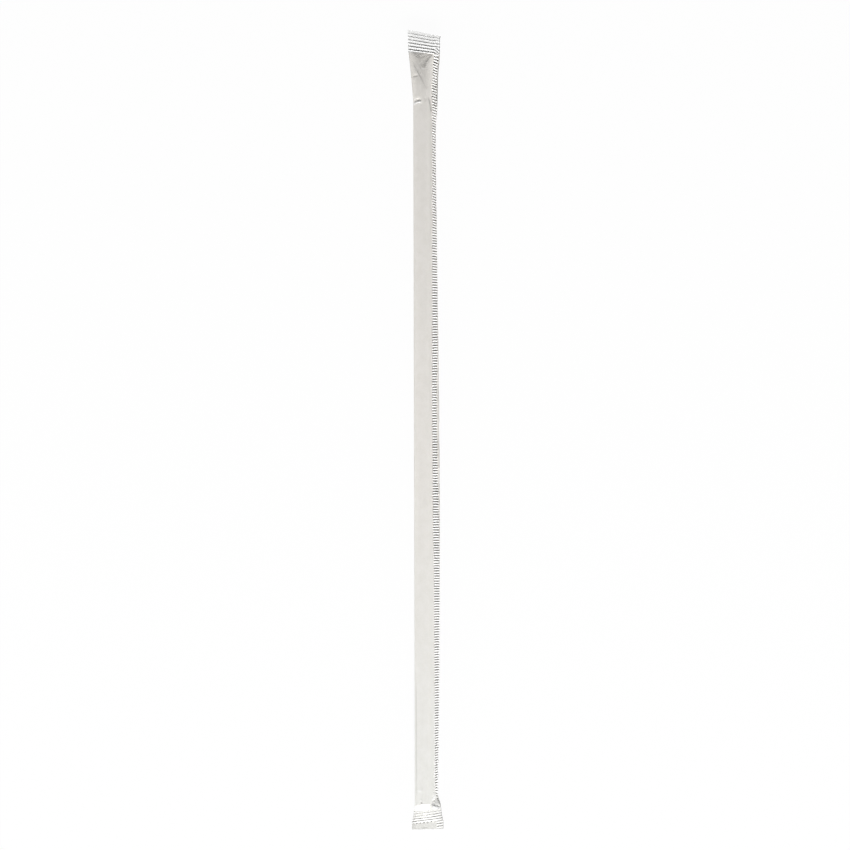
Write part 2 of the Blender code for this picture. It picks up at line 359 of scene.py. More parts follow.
# %% The seam's droop and lean, as shares along the straw
seam_band_spread_shares = (
    (-0.06, 0.85), (-0.033, 0.87), (-0.007, 0.99), (0.00, 0.99), (0.013, 0.93), (0.024, 0.75),
    (0.045, 0.70), (0.07, 0.70), (0.14, 0.78), (0.21, 0.88), (0.28, 0.94), (0.35, 0.97), (0.42, 0.99),
    (0.50, 1.00), (0.57, 1.00), (0.64, 0.98), (0.71, 0.92), (0.78, 0.86), (0.85, 0.80), (0.91, 0.72),
    (0.95, 0.63), (0.985, 0.55), (1.00, 0.95),
)
seam_margin_spread_shares = (
    (-0.06, 0.40), (-0.033, 0.30), (-0.007, 0.30), (0.013, 0.15), (0.07, 0.12), (0.14, 0.14),
    (0.21, 0.18), (0.28, 0.33), (0.35, 0.65), (0.42, 0.95), (0.50, 1.00), (0.57, 1.00), (0.64, 0.85),
    (0.71, 0.50), (0.78, 0.30), (0.85, 0.25), (0.95, 0.15), (0.985, 0.10), (1.01, 0.90),
)
seam_standoff_shares = (
    (0.42, 1.0), (0.50, 1.12), (0.64, 1.27), (0.71, 1.42), (0.78, 1.5), (1.0, 1.5),
)
seam_lean_shares = (
    (-0.08, -0.46), (0.00, -0.40), (0.14, -0.38), (0.17, -0.26), (0.20, -0.16), (0.25, -0.06),
    (0.31, 0.00), (0.68, 0.00), (0.80, 0.10), (0.90, 0.18), (0.93, 0.30), (0.965, 0.40),
    (0.985, -0.10), (1.00, -0.15),
)
seam_turn_share = 0.15
margin_bend_share = 0.4
flutter = 0.04
flutter_seed = 11
flutter_waves = (0.009, 0.021, 0.037)
print("the seam's lean has", len(seam_lean_shares), "stations")


# %% [markdown]
# A droop could be a turn of the whole seam about its root. Here it is worked out from the width
# that is seen from above: the cosine of the angle is the share of the width that still shows.

# %% A point of the seam, anywhere from seal to seal
def shaped(y, share, flat, rounded, side=0.0):
    """A point between its pressed place and its place round the straw.

    X goes from one to the other, in the neck a little late at first. The height is that of a
    middle line, which rises or falls to the seal's height, and what the sleeve still has of its
    own half height.
    """
    s = pressed(y, share)
    full = fullness(y, share)
    x = blend(rounded[0], flat[0], s - neck_fold_lag * s * (1 - s) * (y > 0))
    middle = blend(axis_height, flat[1], s * s)
    return x, middle + full * (rounded[1] - axis_height) + (1 - full) * side * seam_thickness / 2


def seam_extra(y):
    """How much further than usual the seam stands off the straw."""
    return seam_standoff * (read_shares(seam_standoff_shares, along_straw(y)) - 1)


def seam_point(y, distance, side, lift=0.0):
    """A point of the seam's middle, moved out to its upper or lower face.

    Round the straw it runs straight from the root, drooping by the angle whose cosine is the
    band's spread, and its plain margin turns down further. At the ends it is the outer part of
    the bowed line.
    """
    along = along_straw(y)
    steady = 1 - flutter * abs(ripple(y, flutter_seed, flutter_waves))
    droop = np.arccos(np.clip(read_shares(seam_band_spread_shares, along) * steady, 0, 1))
    turn = np.arccos(np.clip(read_shares(seam_margin_spread_shares, along) * steady, 0, 1))
    inner = np.minimum(distance, seam_lead_width + seam_band_width)
    outer = distance - inner
    turn = blend(droop, turn, smooth(outer / (margin_bend_share * seam_margin_width)))
    root = end_section(across_from_cut(seam_width), y)
    x, z = shaped(y, 0.0, root, (root_x + seam_extra(y), root_height))
    flat_x, flat_z = end_section(across_from_cut(seam_width - distance), y)
    pull = 1 - smooth(pressed(y, 0.0))
    across = inner * np.cos(droop) + outer * np.cos(turn)
    down = inner * np.sin(droop) + outer * np.sin(turn)
    offset = side * seam_thickness / 2 + lift
    x = x + blend(flat_x - root[0], across, pull) + offset * np.sin(turn) * pull
    z = z + blend(flat_z - root[1], -down, pull)
    return x, z + offset * (1 + (np.cos(turn) - 1) * pull)


def seam_lean(y):
    """The slope of the seam's ribs, turning to the seal's own slope at each end."""
    near_end = (pressed(y, 0.0) - 1 + seam_turn_share) / seam_turn_share
    return blend(read_shares(seam_lean_shares, along_straw(y)), line_slope(y), smooth(near_end))


stations = np.array((0.9, 0.5, 0.0, -0.5, -0.9)) * straw_top
reach = seam_point(stations, seam_width, 0.0)[0] - root_x - seam_extra(stations)
print("width of the seam seen from above, mm:", np.round(reach / millimetre, 2))


# %% [markdown]
# ## Ribs
#
# A rib is a wave pressed into both plies at once. Where a wave is a function of place, and not a
# row of modelled bars, it can fade, break and change pitch as real pressing does. The light comes
# low along the straw, so even a wave a quarter of a millimetre high has one bright side and one
# dark one.

# %% One wave and its flanks
def rib_wave(phase, skew):
    """One rib a turn, sin(t + k sin t): the greater k, the steeper its upper flank."""
    turn = 2 * np.pi * phase
    return np.sin(turn + skew * np.sin(turn))


def flank(phase, skew):
    """1 in the middle of a rib's upper flank, -1 in the middle of its lower one, 0 between them."""
    turn = 2 * np.pi * phase
    return np.cos(turn + skew * np.sin(turn))


hundredths = np.linspace(0, 1, 101)
crests = [int(rib_wave(hundredths, skew).argmax()) for skew in (0.0, 0.5)]
print("crests of an even and of a leaning wave, in hundredths of a turn:", crests)


# %% [markdown]
# The wheel that pressed the seam didn't run quite straight, so its track has tables of its own,
# and its ribs are a little closer together towards the foot. The number of a rib is the sum of
# all the pitches before it, which is why it is added up once, here, and then only looked up.

# %% The ribs of the side seam
seam_rib_pitch = 0.000733
seam_rib_height = 0.00045
seam_skew = 0.35
seam_rib_unevenness = 0.12
seam_rib_seed = 5
seam_rib_waves = (0.0011, 0.0031, 0.0117)
band_edge = 0.00012
ribs_end = (straw_bottom + 0.0010, 0.0030)
band_start_shares = (
    (-0.08, 0.00), (-0.03, 0.04), (0.00, 0.14), (0.07, 0.17), (0.14, 0.16), (0.21, 0.12), (0.28, 0.09),
    (0.35, 0.08), (0.42, 0.04), (0.50, 0.00), (0.57, 0.00), (0.64, 0.09), (0.71, 0.10), (0.78, 0.11),
    (0.85, 0.15), (0.93, 0.20), (0.97, 0.30), (1.00, 0.50),
)
band_end_shares = (
    (-0.08, 0.68), (-0.03, 0.64), (0.00, 0.75), (0.07, 0.80), (0.28, 0.82), (0.35, 0.78), (0.42, 0.62),
    (0.50, 0.66), (0.57, 0.80), (0.64, 0.91), (0.71, 0.96), (0.78, 1.00), (1.00, 1.00),
)
rib_pitch_shares = (
    (-0.08, 1.055), (-0.03, 1.055), (0.04, 1.00), (0.28, 1.006), (0.50, 1.00), (0.57, 0.985),
    (0.74, 0.974), (0.85, 0.974), (0.91, 0.962), (0.96, 0.943), (1.00, 0.940),
)
pitch_steps = 2000
pitch_places = np.linspace(neck_top, foot_bottom, pitch_steps + 1)
rib_pitches = seam_rib_pitch * read_shares(rib_pitch_shares, along_straw(pitch_places))
ribs_passed = np.cumsum((neck_top - foot_bottom) / pitch_steps / rib_pitches)
print("ribs along the side seam:", round(ribs_passed[-1]))


def seam_band(y, distance):
    """How fully the seam is ribbed: 1 inside the wheel's track and 0 outside it.

    The track wanders between the seam's root and its cut edge, and its ribs die away towards the
    bottom seal, where the paper is pulled smooth.
    """
    start = read_shares(band_start_shares, along_straw(y)) * seam_width
    end = read_shares(band_end_shares, along_straw(y)) * seam_width
    track = rising(distance, start - band_edge / 2, band_edge)
    track = track * falling(distance, end + band_edge / 2, band_edge)
    return track * smooth(distance / band_edge) * rising(y, *ribs_end)


def seam_phase(y):
    """The number of ribs between the top seal and each height: the sum of step over pitch."""
    return np.interp(-y, -pitch_places, ribs_passed)


def seam_lift(y, distance):
    """The side seam's ribs: a wave along Y, inside the ribbed band, of slightly uneven height."""
    strength = uneven(y, seam_rib_unevenness, seam_rib_seed, seam_rib_waves)
    return seam_rib_height / 2 * strength * seam_band(y, distance) * rib_wave(seam_phase(y), seam_skew)


# %% [markdown]
# The seals were pressed by bars, in one stroke, so their ribs are straight. Those of the top seal
# are fainter along its cut edge, where the bars bit less, and a little uneven everywhere. Near
# the seam they step up by a part of their pitch, and in the corner below its end they give way to
# the seam's own slanting ribs.

# %% The ribs of the top seal
top_rib_pitch = 0.00088
top_rib_height = 0.00024
top_rib_growth = (0.4, 1.2)
top_rib_start = 0.07
top_rib_skew = 0.65
top_rib_unevenness = 0.15
top_rib_seed = 21
top_rib_waves = (0.0012, 0.0017, 0.0046)
top_rib_wave_slope = 0.9
seal_end_fade = 0.0001
corner_left = (0.55, 0.06)
corner_right = (0.93, 0.06)
corner_top = (0.58, 0.1)
corner_slope = 0.85
corner_pitch = 1.3 * seam_rib_pitch
corner_skew = 0.3
step_height = 0.14
step_place = (0.55, 0.04)


def top_lift(across, y):
    """The top seal's ribs: parallel to its cut edge, fainter near that edge, and uneven.

    In the corner below the seam's end the seam's own slanting ribs show instead.
    """
    down = (top_cut - y) / top_seal_length
    x = across * sleeve_width / 2
    strength = uneven(x + top_rib_wave_slope * y, top_rib_unevenness, top_rib_seed, top_rib_waves)
    height = top_rib_height / 2 * blend(*top_rib_growth, smooth(down)) * strength
    step = step_height * rising(across, *step_place)
    level = rib_wave((top_cut - y) / top_rib_pitch + step + top_rib_start, top_rib_skew)
    slanting = rib_wave((top_cut - y - corner_slope * x) / corner_pitch, corner_skew)
    corner = rising(across, *corner_left) * falling(across, *corner_right) * rising(down, *corner_top)
    return height * blend(level, slanting, corner) * rising(y, neck_top, seal_end_fade)


lines = np.linspace(top_cut, neck_top, 201)
print("top seal's ribs rise by, mm:", round(top_lift(0 * lines, lines).max() / millimetre, 2))

# %% [markdown]
# The bottom seal's bars bit unevenly. Near the seam they were firm, and the ribs are whole. On
# the left the first ribs are faint and broken into dashes, each rib in its own places, and the
# last one is a row of dots. A rib is found by counting turns down from the foot.

# %% The ribs of the bottom seal
bottom_rib_pitch = 0.0007
bottom_rib_height = 0.0002
bottom_rib_lean = 0.07
bottom_rib_start = 0.15
bottom_rib_skew = 0.5
bottom_rib_count = bottom_seal_length / bottom_rib_pitch
crest_turn = 0.25
dash_strength = 0.75
dash_share = 0.5
dash_contrast = 1.3
dash_shift = 0.00037
dash_seed = 41
dash_waves = (0.0011, 0.0017)
dashes_end = 1.9
dashes_fade = 1.6
bottom_dot_pitch = 0.00104
dot_depth = 0.32
dots_top = (bottom_rib_count - 0.55, 0.2)
firm_place = (0.3, 0.25)
firm_lead = 0.9
firm_loss = 0.25
last_rib_end = (bottom_rib_count + 0.14, 0.1)
seam_end_place = (0.52, 0.06)


def bottom_turns(across, y):
    """Ribs counted down from the foot, along their lean."""
    lean = bottom_rib_lean * (across * sleeve_width / 2 + bottom_seal_offset)
    return (foot_bottom - y + lean) / bottom_rib_pitch - bottom_rib_start


def bottom_lift(across, y):
    """The bottom seal's ribs: they lean more than its cut edge, and only at the seam's end do
    they run on to it.

    The first ribs are faint and broken into dashes, since little pressure reached them, and the
    last one is a row of dots.
    """
    x = across * sleeve_width / 2
    turns = bottom_turns(across, y)
    rib = np.floor(turns + crest_turn)
    dashes = smooth(dash_share + dash_contrast * ripple(x + dash_shift * rib, dash_seed, dash_waves))
    dots = 1 - dot_depth + dot_depth * np.cos(2 * np.pi * x / bottom_dot_pitch)
    firm = rising(across, *firm_place)
    above_dots = falling(turns, *dots_top)
    joined = smooth((turns - dashes_end) / dashes_fade + firm_lead * firm)
    strength = blend(dash_strength * dashes, 1.0, joined)
    strength = strength * blend(dots, 1.0, np.maximum(firm, above_dots)) * (1 - firm_loss * firm)
    ribbed = blend(falling(turns, *last_rib_end), 1.0, rising(across, *seam_end_place))
    ribbed = ribbed * falling(y, foot_bottom, seal_end_fade)
    return bottom_rib_height / 2 * strength * ribbed * rib_wave(turns, bottom_rib_skew)


lines = np.linspace(foot_bottom, bottom_cut, 201)
print("bottom seal's ribs rise by, mm:", round(bottom_lift(0 * lines, lines).max() / millimetre, 2))


# %% [markdown]
# ## Creases
#
# Loose paper creases where it has been pushed. Each crease is a line of points with a valley
# across it: steep on one side and gentle on the other, which is what a tuck looks like. A ridge
# is a valley of negative depth. A fold narrower than the mesh can show casts too little shade, so
# each crease also has a painted shade in the paper's colour: dark along a fold, and a painted
# highlight where it is below 0. Points are in millimetres across from the straw's axis and up
# from the straw's nearer rim. After them come the depth, the widths on its left and right as one
# goes along it, all in millimetres, and the painted shade.

# %% Creases of the neck and the foot
neck_creases = (
    (((-2.9, 14.4), (-1.24, 13.3), (-0.1, 12.8), (1.9, 13.5), (3.2, 13.9)), 0.05, 0.35, 0.30, 0.06),
    (((-3.6, 15.0), (-1.3, 13.6), (0.3, 12.9)), 0.0, 0.45, 0.28, 0.28),
    (((-2.9, 14.5), (0.2, 13.95), (1.9, 13.75), (3.6, 13.5)), 0.0, 0.50, 0.50, 0.30),
    (((0.9, 9.7), (1.25, 11.5), (2.0, 12.6), (3.7, 14.1)), 0.12, 0.70, 0.30, 0.32),
    (((1.4, 11.2), (2.7, 12.2)), 0.0, 0.45, 0.45, 0.14),
    (((-0.5, 10.8), (0.4, 10.8), (1.0, 10.2)), 0.02, 0.25, 0.2, 0.04),
    (((0.45, 9.9), (0.8, 9.2)), 0.0, 0.2, 0.2, -0.7),
    (((-2.3, 12.3), (-1.7, 10.3), (-0.9, 8.7), (-0.1, 7.4), (0.6, 5.9), (1.25, 4.5), (2.0, 3.2)),
     0.09, 0.7, 0.18, 0.07),
    (((-1.0, 12.5), (0.2, 9.0), (1.2, 5.5)), 0.0, 2.1, 2.1, 0.07),
    (((-3.1, 7.1), (-1.6, 7.5), (-0.8, 7.75)), 0.17, 0.45, 0.18, 0.06),
    (((-2.5, 0.15), (-0.9, 0.7), (-0.1, 0.85)), 0.28, 0.5, 0.20, 0.0),
    (((-2.3, -0.9), (-1.8, -0.25), (-1.0, 0.15), (0.2, 0.25)), -0.15, 0.35, 0.22, -0.7),
    (((0.9, 1.5), (1.3, 0.6), (1.75, 1.4)), 0.07, 0.3, 0.25, 0.08),
    (((1.95, 1.8), (2.25, 0.7), (2.55, -0.6), (2.75, -2.8)), 0.12, 0.2, 0.2, 0.45),
    (((2.7, -1.0), (2.7, -20.0), (2.6, -40.0)), 0.0, 0.22, 0.22, 0.07),
)
foot_creases = (
    (((-1.6, 4.1), (-1.0, 3.65), (0.0, 3.9)), -0.06, 0.5, 0.22, -0.4),
    (((-1.2, 6.9), (-0.7, 7.2), (-0.2, 6.8)), -0.03, 0.2, 0.4, -0.2),
    (((-0.62, 0.65), (0.0, 0.35)), 0.08, 0.17, 0.17, 0.50),
    (((-0.8, 1.2), (0.1, 1.0)), -0.05, 0.2, 0.2, -0.4),
    (((-0.95, 0.0), (-0.5, 0.1)), 0.08, 0.17, 0.17, 0.30),
    (((-1.72, 36.0), (-1.70, 16.0), (-1.66, -0.3)), 0.0, 0.12, 0.16, 0.24),
    (((3.05, 30.0), (3.05, 2.0)), 0.0, 0.14, 0.14, 0.05),
    (((3.33, 30.0), (3.30, 3.0)), 0.0, 0.14, 0.14, -0.6),
    (((3.55, 2.6), (3.1, 1.7), (2.5, 0.9)), -0.05, 0.22, 0.22, -1.0),
    (((2.45, -0.35), (3.8, -0.85), (5.3, -1.35)), -0.22, 0.28, 0.75, -1.0),
)
print(len(neck_creases), "creases in the neck,", len(foot_creases), "in the foot")

# %% [markdown]
# Beside the lower rim the paper is sucked in between the straw's end and the seam. That place is
# a small hollow with three straight sides, so it is a mask of its own. Its inside gets a painted
# highlight, and lines round it are creased a little and darkened by painted shade.

# %% The hollow beside the lower rim
hollow_corners = ((3.85, 2.7), (2.4, -0.15), (5.4, -1.05))
hollow_edge = 0.2
hollow_depth = 0.16
# below 0: a painted highlight that lightens the inside of the hollow
hollow_painted_light = -0.40
# lines of painted shade along the hollow's edge and in a dark spot beside it
hollow_lines = (
    (((3.85, 2.9), (4.2, 1.6), (4.7, 0.3), (5.2, -1.1)), 0.0, 0.14, 0.20, 0.85),
    (((2.75, 1.0), (3.55, 0.45)), 0.06, 0.26, 0.26, 0.62),
    (((3.5, 1.0), (4.4, -0.8)), 0.05, 0.10, 0.10, 0.30),
)


def hollow_mask(x, y):
    """1 inside the small hollow beside the lower rim and 0 outside: the least distance inwards
    from its three sides, eased over the width of its edge."""
    corners = np.array(hollow_corners) * millimetre + np.array((0.0, straw_bottom))
    inwards = []
    for start, end in zip(corners, np.roll(corners, -1, axis=0)):
        run = (end - start) / np.hypot(*(end - start))
        inwards.append(run[0] * (y - start[1]) - run[1] * (x - start[0]))
    return smooth(np.minimum.reduce(inwards) / (hollow_edge * millimetre))


hollow_middle = np.mean(hollow_corners, axis=0) * millimetre
depth = hollow_depth * hollow_mask(hollow_middle[0], hollow_middle[1] + straw_bottom)
print("the hollow is", round(float(depth), 2), "mm deep in its middle")

# %% [markdown]
# A crease could be cut into the mesh as edges, but then every crease would need its own faces.
# Here the grid stays as it is, and every point asks how far it lies from each crease's line.

# %% Lowering and shading the paper along its creases
crease_fade = 0.25
crease_end = 0.1
tiny = 1e-9


def crease_marks(x, y, creases, rim):
    """How far the creases lower each point of the paper, and how they shade it.

    For each crease: the distance to its nearest piece goes into a bell, whose width turns from
    one value on its left to another on its right, and which fades towards the two ends.
    """
    lowering, shade = np.zeros_like(x), np.zeros_like(x)
    for points, depth, left, right, painted_darkness in creases:
        line = np.array(points) * millimetre + np.array((0.0, rim))
        lengths = np.hypot(*np.diff(line, axis=0).T)
        nearest = np.full(x.shape, np.inf)
        side, run_share = np.zeros_like(x), np.zeros_like(x)
        passed = 0.0
        for start, end, length in zip(line[:-1], line[1:], lengths):
            run = (end - start) / length
            ahead = np.clip((x - start[0]) * run[0] + (y - start[1]) * run[1], 0, length)
            dx = x - start[0] - ahead * run[0]
            dy = y - start[1] - ahead * run[1]
            gap = np.hypot(dx, dy) + tiny
            closer = gap < nearest
            nearest = np.where(closer, gap, nearest)
            side = np.where(closer, (run[0] * dy - run[1] * dx) / gap, side)
            run_share = np.where(closer, (passed + ahead) / lengths.sum(), run_share)
            passed += length
        width = blend(right, left, 0.5 + 0.5 * side) * millimetre
        fade = smooth(run_share / crease_fade + crease_end)
        fade = fade * smooth((1 - run_share) / crease_fade + crease_end)
        pressed_in = fade * bell(nearest, width)
        lowering += depth * millimetre * pressed_in
        # painted shade in the paper's colour along each crease, and a painted highlight where it is
        # below 0
        shade += painted_darkness * pressed_in
    return lowering, shade


def paper_marks(x, y):
    """The lowering and the painted shade of both ends' creases and the hollow, at points of the paper
    seen from above.
    """
    mask = hollow_mask(x, y)
    lowering = hollow_depth * millimetre * mask
    shade = hollow_painted_light * mask
    groups = ((neck_creases, straw_top), (foot_creases, straw_bottom), (hollow_lines, straw_bottom))
    for creases, rim in groups:
        more_lowering, more_shade = crease_marks(x, y, creases, rim)
        lowering = lowering + more_lowering
        shade = shade + more_shade
    return lowering, shade


# %% [markdown]
# ## From functions to meshes
#
# Each piece is a closed skin: an upper grid, a lower grid and a wall round them. Cutting and
# pulling such a skin by hand would take days, since it has hundreds of ribs. The functions above
# are evaluated for the whole grid at once instead, and the mesh is filled in a few calls.

# %% Making a mesh out of grids
solid_right_reach = 0.005873
solid_top_reach = 0.118887
axis_x = solid_high.x - solid_right_reach
middle_y = solid_high.y - solid_top_reach
print("middle of the straw, mm:", round(axis_x / millimetre, 3), round(middle_y / millimetre, 3))


def place(x, y, z):
    """Put points of the straw's own frame into the object's frame, as one array."""
    return np.stack(np.broadcast_arrays(x + axis_x, y + middle_y, z), axis=-1)


def volume_inside(points, faces):
    """The volume that four-cornered faces enclose: a sixth of the sum of a . (b x c) over their
    triangles, which is positive if they all face outwards."""
    a, b, c, d = (points[faces[:, corner]] for corner in range(4))
    return np.einsum("ij,ij->", a, np.cross(b, c) + np.cross(c, d)) / 6


def make_piece(name, points, faces, shade, sharp_angle=50):
    """A mesh object from an array of points, one of four-cornered faces and one of shades."""
    volume = volume_inside(points, faces) / millimetre**3
    assert volume > 0, name + " is inside out"
    mesh = bpy.data.meshes.new(name)
    mesh.from_pydata(points, [], faces.tolist())
    mesh.validate()
    mesh.attributes.new("shade", "FLOAT", "POINT").data.foreach_set("value", shade)
    mesh.shade_smooth()
    mesh.set_sharp_from_angle(angle=math.radians(sharp_angle))
    piece = bpy.data.objects.new(name, mesh)
    bpy.context.scene.collection.objects.link(piece)
    print(name, len(points), "points,", 2 * len(faces), "triangles,", round(volume, 1), "cubic mm")
    return piece


# %% [markdown]
# Every piece here is a tube: its points are rows of closed loops. Neighbouring rows are joined
# all the way round, and the first and the last loop are closed across, so that nothing is open.

# %% Joining rows of loops into a closed skin
def make_tube(name, loop_points, loop_shade):
    """A closed skin from rows of closed loops, with its two ends closed across.

    loop_points has one row a height. A loop runs along the upper ply and back along the lower
    one, so the two points that face each other across an end are paired from its ends inwards.
    """
    rows, columns = loop_points.shape[:2]
    index = np.arange(rows * columns).reshape(rows, columns)
    wrapped = np.concatenate((index, index[:, :1]), axis=1)
    corners = (wrapped[:-1, :-1], wrapped[:-1, 1:], wrapped[1:, 1:], wrapped[1:, :-1])
    faces = [np.stack(corners, axis=-1).reshape(-1, 4)]
    half = columns // 2
    for row, order in ((0, -1), (rows - 1, 1)):
        upper, lower = index[row, :half], index[row, ::-1][:half]
        cap = np.stack((upper[:-1], upper[1:], lower[1:], lower[:-1]), axis=-1)
        faces.append(cap[:, ::order])
    return make_piece(name, loop_points.reshape(-1, 3), np.concatenate(faces), loop_shade.ravel())


# %% [markdown]
# ## The sleeve
#
# The sleeve is the paper between the two seals. It could be a tube that is sculpted at its ends,
# but then its width would drift, and paper keeps its width. Here each point keeps its share of
# the way round, and only its place is blended. Rows are close together where the paper is
# creased, and far apart along the straw, where every section is the same. The loop has the same
# number of points on both plies, so that the caps can pair them.

# %% The sleeve from the top seal to the bottom one
def spaced(start, end, step):
    """Evenly spaced heights from start down to end, about a step apart, without the last."""
    return np.linspace(start, end, max(2, round(abs(start - end) / step)), endpoint=False)


rows_from = (
    (neck_top, 0.00009),
    (straw_top - 0.001, 0.0002),
    (straw_top - 0.004, 0.0015),
    (straw_bottom + 0.006, 0.0002),
    (straw_bottom + 0.003, 0.00006),
    (foot_bottom, None),
)
stretches = [spaced(start, end, step) for (start, step), (end, _) in zip(rows_from, rows_from[1:])]
sleeve_rows = np.concatenate(stretches + [[foot_bottom]])
ply_points = 84
fold_round_share = 0.03
fold_calm_share = 0.2
# painted shade along the left fold, where the round paper turns away from the light
painted_fold_darkness = 0.25
fold_spread = 0.035
root_join_share = 0.02
print("rows of the sleeve:", len(sleeve_rows))


def sleeve_ply(y, share, side):
    """The paper's outer surface on one ply, between the wrapped and the pressed section, and the
    painted shade of its creases.

    The two plies close at the fold, so their half thickness there runs out as a round edge does.
    """
    flat = end_section(across_from_cut(seam_width + share * ply_width), y)
    edge = np.sqrt(np.clip((1 - share) / fold_round_share, 0, 1))
    round_x, round_z = round_section(share, side)
    x, z = shaped(y, share, flat, (drawn_out(round_x, seam_extra(y)), round_z), side * edge)
    root = seam_point(y, 0.0, side)
    join = np.clip(1 - share / root_join_share, 0, 1)
    x = blend(x, root[0], join)
    z = blend(z, root[1], join)
    y = y + line_slope(y) * x
    lowering, shade = paper_marks(x, y)
    if side < 0:
        return place(x, y, z), 0 * shade
    return place(x, y, z - lowering * falling(share, 1, fold_calm_share)), shade


heights, shares = np.meshgrid(sleeve_rows, np.linspace(0, 1, ply_points), indexing="ij")
upper_ply, upper_shade = sleeve_ply(heights, shares, +1)
lower_ply, lower_shade = sleeve_ply(heights, shares, -1)
painted_fold_shade = painted_fold_darkness * bell(1 - shares, fold_spread)
sleeve = make_tube(
    "paper_sleeve",
    np.concatenate((upper_ply, lower_ply[:, ::-1]), axis=1),
    np.concatenate((upper_shade + painted_fold_shade, (lower_shade + painted_fold_shade)[:, ::-1]), axis=1),
)

# %% [markdown]
# ## The side seam
#
# The seam is the two long edges of the strip, pressed together. Its ribs could be a bump in the
# material, but they show in its outline from the side, so they are shape. Eight rows to a rib are
# enough for the wave to look smooth. Across the seam the columns are even, since the ribbed band
# wanders between the root and the cut edge.

# %% The ribbed seam from seal to seal
rows_per_rib = 8
columns_across = 17
rib_count = round((neck_top - foot_bottom) / seam_rib_pitch)
seam_rows = np.linspace(neck_top, foot_bottom, rib_count * rows_per_rib + 1)
seam_columns = np.linspace(0, seam_width, columns_across)
seam_columns = np.sort(np.append(seam_columns, seam_width - paper_thickness / 2))


def seam_face(y, distance, side):
    """One face of the seam, with its ribs, closed to a round edge at the cut, and the painted shade of
    the creases over it.
    """
    edge = np.sqrt(np.clip((seam_width - distance) / paper_thickness, 0, 1))
    lift = seam_lift(y, distance)
    upper_x, upper_z = seam_point(y, distance, side * edge, lift)
    root = seam_point(y, 0.0, 0.0)[0]
    y = y + line_slope(y) * root + seam_lean(y) * (upper_x - root)
    lowering, shade = paper_marks(upper_x, y)
    return place(upper_x, y, upper_z - lowering), shade


heights, distances = np.meshgrid(seam_rows, seam_columns, indexing="ij")
upper_face, upper_shade = seam_face(heights, distances, +1)
lower_face, lower_shade = seam_face(heights, distances, -1)
print("rows of the seam:", len(seam_rows))

# %% [markdown]
# The lamp alone leaves ribs this fine paler than the real ones. So the seam has a painted shade
# for each point: below 0, a painted highlight on each rib's lower flank, and above 0, painted
# shade on its upper one, along the cut edge and where the margin turns down, away from the light.

# %% The painted shade of the seam, and its mesh
# painted shade along the cut edge and the turned margin, and painted light on the ribs
cut_painted_shade = 0.6
neck_cut_painted_shade = 0.75
cut_strip_width = 0.00014
neck_cut_strip_width = 1.3 * top_edge_turn_width
strip_edge = 0.0001
neck_change = (straw_top - 0.002, 0.003)
rib_painted_light = 0.12
margin_painted_shade = 0.45


def seam_painted_shade(y, distance):
    """The seam's own painted shade: painted highlight and shade on the ribs' flanks inside the band,
    and a strip of painted shade along the cut and the turned margin.
    """
    in_neck = rising(y, *neck_change)
    strip = blend(cut_strip_width, neck_cut_strip_width, in_neck)
    cut = blend(cut_painted_shade, neck_cut_painted_shade, in_neck)
    cut = cut * rising(distance, seam_width - strip, strip_edge)
    ribs = seam_band(y, distance) * (flank(seam_phase(y), seam_skew) - rib_painted_light)
    turned = 1 - read_shares(seam_margin_spread_shares, along_straw(y))
    margin = rising(distance, seam_lead_width + seam_band_width, seam_margin_width)
    darkest = np.maximum.reduce((cut, ribs, margin_painted_shade * turned * margin))
    return np.where(ribs < 0, ribs, darkest)


seam_own_painted_shade = seam_painted_shade(heights, distances)
loop_shade = np.concatenate(((upper_shade + seam_own_painted_shade)[:, ::-1], lower_shade + seam_own_painted_shade), axis=1)
seam = make_tube(
    "side_seam",
    np.concatenate((upper_face[:, ::-1], lower_face), axis=1),
    np.clip(loop_shade, -1, 1),
)

# %% [markdown]
# ## The two seals
#
# A seal is where a hot bar pressed both plies together: a slab two plies thick. It could be two
# sheets that touch, but sheets that touch flicker, and one slab doesn't. Its grid runs from the
# left fold to the seam's cut edge, and from one height to another, so the same function makes
# both, and only their ribs and painted shades differ.

# %% A face of a seal, and what shades each seal
# dots of painted shade and painted highlight in the last groove, and painted shade on the plain flap
# and its strip by the fold
dot_row = 4.72
dot_row_width = 0.3
dot_painted_shade = 0.45
dots_left = (-0.75, 0.1)
dots_right = (0.4, 0.1)
flap_painted_shade = 0.08
flap_start = (flap_top - 0.0001, 0.0003)
flap_right = (0.56, 0.06)
flap_strip_painted_shade = 0.10
flap_strip_right = (-0.66, 0.15)
flap_line_darkness = 0.28
flap_line_up = 0.0004
flap_line_middle = -0.2
flap_line_reach = (0.26, 0.2)
cut_line_width = 0.00018
cut_line_down = 0.00016
cut_line_darkness = 0.22


def seal_face(y, across, side, lift):
    """One face of a seal: the bowed line across the end, raised by its ribs."""
    x, z = end_section(across, y)
    edge = np.sqrt(np.clip((1 - abs(across)) * sleeve_width / 2 / paper_thickness, 0, 1))
    y = y + line_slope(y) * x
    z = z + lift + side * edge * seam_thickness / 2
    return place(x, y, z)


def flap_painted_marks(across, y):
    """The plain flap's painted shade: a little grey all over, greyer in the strip by the fold and in
    a line along the cut. In the last groove above it dots of painted shade take turns with painted
    highlights."""
    x = across * sleeve_width / 2
    dotted = bell(bottom_turns(across, y) - dot_row, dot_row_width)
    dotted = dotted * falling(across, *dots_right) * rising(across, *dots_left)
    dots = dot_painted_shade * dotted * np.cos(2 * np.pi * x / bottom_dot_pitch)
    plain = falling(y, *flap_start) * falling(across, *flap_right)
    strip = flap_strip_painted_shade * falling(across, *flap_strip_right)
    line = flap_line_darkness * bell(y - bottom_cut - flap_line_up, cut_line_width)
    line = line * falling(abs(across - flap_line_middle), *flap_line_reach)
    return dots + plain * (flap_painted_shade + strip + line)


